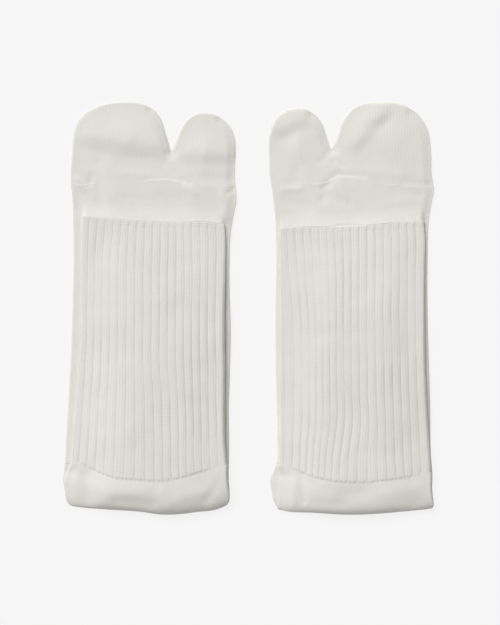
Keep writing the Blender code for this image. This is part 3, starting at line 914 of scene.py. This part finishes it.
def layered_section(lower_left, lower_right, inset_left, inset_right, low, high, groove):
    """Rings of the fold: beneath, two half rounds up the right edge, on top, and two down the left edge."""
    arrays = (lower_left, lower_right, inset_left, inset_right, low, high, groove)
    lower_left, lower_right, inset_left, inset_right, low, high, groove = (v[:, None] for v in arrays)
    splits = [low + (high - low) * share for share in (EAR_SPLIT, FOLD_SPLIT)]
    turn = np.linspace(-math.pi / 2, math.pi / 2, FOLD_EDGE_STEPS, endpoint=False)[None, :]
    flat = np.linspace(0, 1, FOLD_FLAT_STEPS, endpoint=False)[None, :]

    def half_round(edge, bottom, top, side, open_end):
        """A half round whose end by the groove stops at the groove's depth."""
        radius = (top - bottom) / 2
        bulge = SIDE_SHARE * radius * (1 - np.cos(turn))
        bulge = np.where(open_end * turn > 0, np.minimum(bulge, groove * SIDE_SHARE * radius), bulge)
        return edge - side * bulge, (top + bottom) / 2 + radius * np.sin(turn)

    upper_left, upper_right = lower_left + inset_left, lower_right - inset_right
    low_left, low_right = (SIDE_SHARE * (split - low) / 2 for split in splits)
    high_left, high_right = (SIDE_SHARE * (high - split) / 2 for split in splits)
    beneath = lower_left + low_left + (lower_right - low_right - lower_left - low_left) * flat
    above = upper_right - high_right - (upper_right - high_right - upper_left - high_left) * flat
    left_low = half_round(lower_left, low, splits[0], -1, 1)
    left_high = half_round(upper_left, splits[0], high, -1, -1)
    right_low = half_round(lower_right, low, splits[1], 1, 1)
    right_high = half_round(upper_right, splits[1], high, 1, -1)
    runs = (
        (beneath, low + 0 * flat), right_low, right_high, (above, high + 0 * flat),
        (left_high[0][:, ::-1], left_high[1][:, ::-1]), (left_low[0][:, ::-1], left_low[1][:, ::-1]),
    )
    x, z = (np.concatenate([run[k] for run in runs], axis=1) for k in (0, 1))
    is_top = np.zeros(x.shape[1])
    is_top[FOLD_FLAT_STEPS + 2 * FOLD_EDGE_STEPS : 2 * FOLD_FLAT_STEPS + 2 * FOLD_EDGE_STEPS] = 1.0
    return x, z, is_top[None, :]


def make_heel(name, sock):
    nose = 1 - (1 - np.linspace(0, 1, NOSE_RINGS)) ** NOSE_ROUNDNESS
    back = np.linspace(0, NOSE_FROM, BACK_RINGS, endpoint=False)
    shares = np.concatenate([back, NOSE_FROM + (1 - NOSE_FROM) * nose])
    left, right = edges_between(sock.foot, sock.turn, sock.fold, shares)
    fall = np.clip((shares - TOP_FALLS_FROM) / (1 - TOP_FALLS_FROM), 0, 1)
    rise = np.clip((shares - SOLE_RISES_FROM) / (1 - SOLE_RISES_FROM), 0, 1)
    into_corner = np.clip((shares - CORNER_FROM) / (1 - CORNER_FROM), 0, 1)
    corner = CORNER_ROUND * (1 - np.sqrt(1 - into_corner**2))
    high = FOLD_TIP + (FOLD_THICK - FOLD_TIP) * (1 - fall**sock.fall) ** (1 / sock.fall)
    low = FOLD_TIP * (1 - np.sqrt(1 - rise**2))
    inset_left = along_table(sock.layers, "along", "inset_left", shares)
    inset_right = along_table(sock.layers, "along", "inset_right", shares)
    groove = LAYER_GROOVE * (1 - GROOVE_FADE * shares)
    lower_left, lower_right = left + corner, right - corner
    x, z, is_top = layered_section(lower_left, lower_right, inset_left, inset_right, low, high, groove)
    y = ring_heights(sock.turn, sock.fold, shares, x)
    from_left, from_right = x - (left + inset_left)[:, None], (right - inset_right)[:, None] - x
    from_foot_edge = np.minimum(x - left[:, None], right[:, None] - x)
    pressed = leg_thickness(sock, from_left, from_right, THINNING_LENGTH)
    ear = smooth_step(0, EAR_PRESSED_FROM, shares)[:, None] * smooth_step(EAR_REACH, 0, from_left)
    pressed -= EAR_PRESS * ear
    tall = leg_bed(sock, x, line_at(sock.turn, x), from_foot_edge) + pressed
    share = z / FOLD_THICK
    fade = 1 - smooth_step(NOSE_CALM, 1.0, shares)[:, None]
    edge = np.clip(np.minimum(from_left, from_right), 0, None)
    lift = is_top * fade * upper_lift(name, x, y, edge)
    step = turn_step(sock, x, y) * smooth_step(*STEP_SHARES, share)
    steps = np.hypot(np.diff(x, axis=1, prepend=x[:, :1]), np.diff(z, axis=1, prepend=z[:, :1]))
    stitches = np.stack([np.cumsum(steps, axis=1) / WALE, (line_at(sock.turn, x) - y) / COURSE], axis=-1)
    points = np.stack([x, y, share * tall + lift - step], axis=-1)
    return cloth_from_grid(name + "_heel_knit", points, stitches, wrapped=True)


for name, sock in socks.items():
    finish_cloth(make_heel(name, sock))

# %% [markdown]
# ## Colour and nodes
#
# Colours are sRGB hex values, turned to linear light by one function. One helper adds a node with its
# settings and links, so that a material reads as a list of what it is made from.

# %% Node tools
def linear(hex_colour):
    channels = [int(hex_colour[i : i + 2], 16) / 255 for i in (1, 3, 5)]
    return [c / 12.92 if c <= 0.04045 else ((c + 0.055) / 1.055) ** 2.4 for c in channels] + [1.0]


def set_sockets(shader, values):
    for socket, value in values.items():
        shader.inputs[socket].default_value = value


def add_node(tree, kind, inputs, **settings):
    """Adds a node. An input is a number, a colour, an output, or a node, for its first output."""
    node = tree.nodes.new("ShaderNode" + kind)
    for key, value in settings.items():
        setattr(node, key, value)
    for socket, value in inputs.items():
        source = value.outputs[0] if isinstance(value, bpy.types.Node) else value
        if isinstance(source, bpy.types.NodeSocket):
            tree.links.new(source, node.inputs[socket])
        else:
            node.inputs[socket].default_value = source
    return node


# %% [markdown]
# ## Cotton knit
#
# Combed cotton yarn is matt, a little fuzzy, and off-white because it isn't bleached. In plain knit each
# stitch shows as a V: two slanted strands side by side, one wale wide and one course tall. The pattern is
# worked out on the UV map, which is counted in stitches: across a wale the two strands rise and fall, with
# a deeper gap between one wale and the next, and along it the links repeat with a slant. Where the cloth is
# stretched the courses part and show as a ladder, so slow noise lets them come and go. The gaps are a
# little darker, since light is lost in them.

# %% Knit relief
STRETCHES_A_METRE = 48.0


def knit_relief(tree, slant, gap_depth, ladder_least, ladder_most):
    """The height of the stitches from 0 to 1, on the UV map counted in stitches."""
    count = add_node(tree, "SeparateXYZ", {0: add_node(tree, "UVMap", {}, uv_map="stitches")})
    in_wale = add_node(tree, "Math", {0: count.outputs["X"]}, operation="FRACT")
    off_middle = add_node(tree, "Math", {0: in_wale, 1: 0.5}, operation="SUBTRACT")
    off_middle = add_node(tree, "Math", {0: off_middle}, operation="ABSOLUTE")
    half_turn = add_node(tree, "Math", {0: off_middle, 1: 2 * math.pi}, operation="MULTIPLY")
    strands = add_node(tree, "Math", {0: half_turn}, operation="SINE")
    to_edge = add_node(tree, "Math", {0: off_middle, 1: 2.0}, operation="MULTIPLY")
    to_edge = add_node(tree, "Math", {0: to_edge, 1: 3.0}, operation="POWER")
    crown = add_node(tree, "Math", {0: strands, 1: 0.4, 2: 0.6}, operation="MULTIPLY_ADD")
    wale = add_node(tree, "Math", {0: to_edge, 1: -gap_depth, 2: crown}, operation="MULTIPLY_ADD")
    link = add_node(
        tree, "Math", {0: off_middle, 1: slant, 2: count.outputs["Y"]}, operation="MULTIPLY_ADD"
    )
    turn = add_node(tree, "Math", {0: link, 1: 2 * math.pi}, operation="MULTIPLY")
    course = add_node(tree, "Math", {0: turn}, operation="COSINE")
    gap = add_node(tree, "Math", {0: course, 1: -0.5, 2: 0.1}, operation="MULTIPLY_ADD")
    place = add_node(tree, "TexCoord", {}).outputs["Object"]
    stretch = add_node(tree, "TexNoise", {"Vector": place, "Scale": STRETCHES_A_METRE, "Detail": 1.5})
    ladder = add_node(
        tree, "MapRange",
        {"Value": stretch, "From Min": 0.4, "From Max": 0.64, "To Min": ladder_least, "To Max": ladder_most},
    )
    parted = add_node(tree, "Math", {0: gap, 1: ladder}, operation="MULTIPLY")
    whole = add_node(tree, "Math", {0: 1.0, 1: parted}, operation="SUBTRACT")
    return add_node(tree, "Math", {0: wale, 1: whole}, operation="MULTIPLY")


# %% Cotton knit materials
YARN = "#EEECE6"
# Painted shade: the darker colour that stitch gaps and rib grooves are shaded towards; the yarn's own mottle
# also leans to it
YARN_SHADE_AND_MOTTLE = "#C4C2BB"
GROOVE_SHADE = 0.12
MOTTLES_A_METRE = 60.0
TUFTS_A_METRE = 1500.0
TUFT_HEIGHT = 0.3
MATT_COTTON = {
    "Roughness": 0.95, "Specular IOR Level": 0.2, "Sheen Weight": 0.05, "Sheen Roughness": 0.6,
}


def cotton_knit(label, relief, gap_shade, relief_mm, grooved):
    material = bpy.data.materials.new(label)
    material.use_nodes = True
    tree = material.node_tree
    shader = tree.nodes["Principled BSDF"]
    place = add_node(tree, "TexCoord", {}).outputs["Object"]
    height = knit_relief(tree, **relief)
    # Yarn is thick and thin along its length, which leaves a faint mottle a couple of centimetres across
    mottle = add_node(
        tree, "TexNoise", {"Vector": place, "Scale": MOTTLES_A_METRE, "Detail": 4.0, "Roughness": 0.6}
    )
    uneven = add_node(
        tree, "MapRange",
        {"Value": mottle, "From Min": 0.32, "From Max": 0.68, "To Min": 0.1, "To Max": 0.19},
    )
    # Painted shade in the gaps between stitches, with the yarn's own mottle added to it
    shade_and_mottle = add_node(tree, "Math", {0: height, 1: -gap_shade, 2: gap_shade}, operation="MULTIPLY_ADD")
    shade_and_mottle = add_node(tree, "Math", {0: shade_and_mottle, 1: uneven}, operation="ADD")
    # Painted shade: the rib's grooves are darkened by their depth, read from the groove attribute
    if grooved:
        groove = add_node(tree, "Attribute", {}, attribute_name="groove").outputs["Fac"]
        shade_and_mottle = add_node(tree, "Math", {0: groove, 1: GROOVE_SHADE, 2: shade_and_mottle}, operation="MULTIPLY_ADD")
    cotton = add_node(tree, "Mix", {0: shade_and_mottle, 6: linear(YARN), 7: linear(YARN_SHADE_AND_MOTTLE)}, data_type="RGBA")
    # Loose fibres, in tufts less than a millimetre across, roughen every strand
    fuzz = add_node(tree, "TexNoise", {"Vector": place, "Scale": TUFTS_A_METRE, "Detail": 2.0})
    rough = add_node(tree, "Math", {0: fuzz, 1: TUFT_HEIGHT, 2: height}, operation="MULTIPLY_ADD")
    bumped = add_node(tree, "Bump", {"Height": rough, "Strength": 1.0, "Distance": relief_mm * MM})
    tree.links.new(cotton.outputs[2], shader.inputs["Base Color"])
    tree.links.new(bumped.outputs["Normal"], shader.inputs["Normal"])
    set_sockets(shader, MATT_COTTON)
    return material


plain_stitches = {"slant": 0.8, "gap_depth": 0.45, "ladder_least": 0.1, "ladder_most": 0.5}
rib_stitches = {"slant": 0.25, "gap_depth": 0.3, "ladder_least": 0.15, "ladder_most": 0.8}
plain_knit = cotton_knit(
    "unbleached_cotton_plain_knit", plain_stitches, gap_shade=0.2, relief_mm=0.06, grooved=False
)
rib_knit = cotton_knit(
    "unbleached_cotton_rib_knit", rib_stitches, gap_shade=0.27, relief_mm=0.1, grooved=True
)

for label, piece in pieces.items():
    piece.data.materials.clear()
    piece.data.materials.append(rib_knit if label.endswith(("rib", "welt")) else plain_knit)
print(plain_knit.name, len(plain_knit.node_tree.nodes), "nodes")

# %% [markdown]
# ## Placing the pieces in the frame
#
# Each piece stands for the solid of the same part and rides with the one body. The toe's seam has no solid
# of its own. The table's last four columns are about cloth, and nothing in this script reads them.

# %% Ride and replace
Cut = namedtuple("Cut", "stands_for slot flat area lies_on trim")
cuts = {
    "toe_knit": Cut("toe", "plain_knit", (0.196, 0.049), 0.0083, None, "toe_seam"),
    "foot_knit": Cut("foot", "plain_knit", (0.192, 0.168), None, None, None),
    "heel_knit": Cut("heel", "plain_knit", (0.210, 0.026), None, None, None),
    "leg_rib": Cut("leg", "rib_knit", (0.176, 0.144), None, "foot_knit", "cuff_welt"),
    "cuff_welt": Cut("cuff", "rib_knit", None, None, None, None),
    "toe_seam": Cut(None, "plain_knit", None, None, None, None),
}

for label, piece in pieces.items():
    side, part = label.split("_", 1)
    cut = cuts[part]
    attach(piece, "root")
    if cut.stands_for:
        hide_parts(side + "_" + cut.stands_for)
    cloth = sum(face.area for face in piece.data.polygons) / 2
    print(label, "is about", round(cloth * 1e4, 1), "square centimetres of cloth")

# %% [markdown]
# ## Floor, light and camera
#
# The floor is a sheet of white paper on a light table: most of its white is its own, so the socks' shadows
# on it stay faint. The light is one broad soft source from beyond the toes and a little to the left, with a
# pale sky all round, so that the edges on that side are bright and the heel's fold turns away into shade.
# The camera looks straight down through a long lens.

# %% Floor
FLOOR_SIDE = 6.0
FLOOR_BELOW = 0.0002
PAPER = "#5A5A5A"
PAPER_GLOW = 0.829
bpy.ops.object.select_all(action="DESELECT")
bpy.ops.mesh.primitive_plane_add(size=FLOOR_SIDE, location=(0, 0, -FLOOR_BELOW))
floor = bpy.context.active_object
floor.name = "floor"
paper = bpy.data.materials.new("white_paper_on_light_table")
paper.use_nodes = True
set_sockets(paper.node_tree.nodes["Principled BSDF"], {
    "Base Color": linear(PAPER), "Roughness": 1.0, "Specular IOR Level": 0.0,
    "Emission Color": linear("#FFFFFF"), "Emission Strength": PAPER_GLOW,
})
floor.data.materials.append(paper)

# %% Light
SKY_STRENGTH = 0.28
KEY_STRENGTH = 2.77
KEY_SPREAD = 40
KEY_FROM = Vector((-0.55, 0.84, 1.0))

world = bpy.data.worlds.new("pale_studio")
bpy.context.scene.world = world
world.use_nodes = True
sky = world.node_tree.nodes["Background"]
sky.inputs["Color"].default_value = (1.0, 1.0, 1.0, 1.0)
sky.inputs["Strength"].default_value = SKY_STRENGTH

key_data = bpy.data.lights.new("soft_key", "SUN")
key_data.energy = KEY_STRENGTH
key_data.angle = math.radians(KEY_SPREAD)
key = bpy.data.objects.new("soft_key", key_data)
bpy.context.scene.collection.objects.link(key)
key.rotation_euler = KEY_FROM.to_track_quat("Z", "Y").to_euler()

# %% Camera
LOOK_AT = (0.0009, -0.0023)
CAMERA_HEIGHT = 2.0
SOCK_HEIGHT = 0.006
VIEW_TALL = 0.363
camera_data = bpy.data.cameras.new("camera")
camera_data.sensor_width = 36.0
camera_data.lens = camera_data.sensor_width * (CAMERA_HEIGHT - SOCK_HEIGHT) / VIEW_TALL
camera = bpy.data.objects.new("camera", camera_data)
camera.location = (LOOK_AT[0], LOOK_AT[1], CAMERA_HEIGHT)
bpy.context.scene.collection.objects.link(camera)
bpy.context.scene.camera = camera
bpy.context.scene.view_settings.view_transform = "Standard"
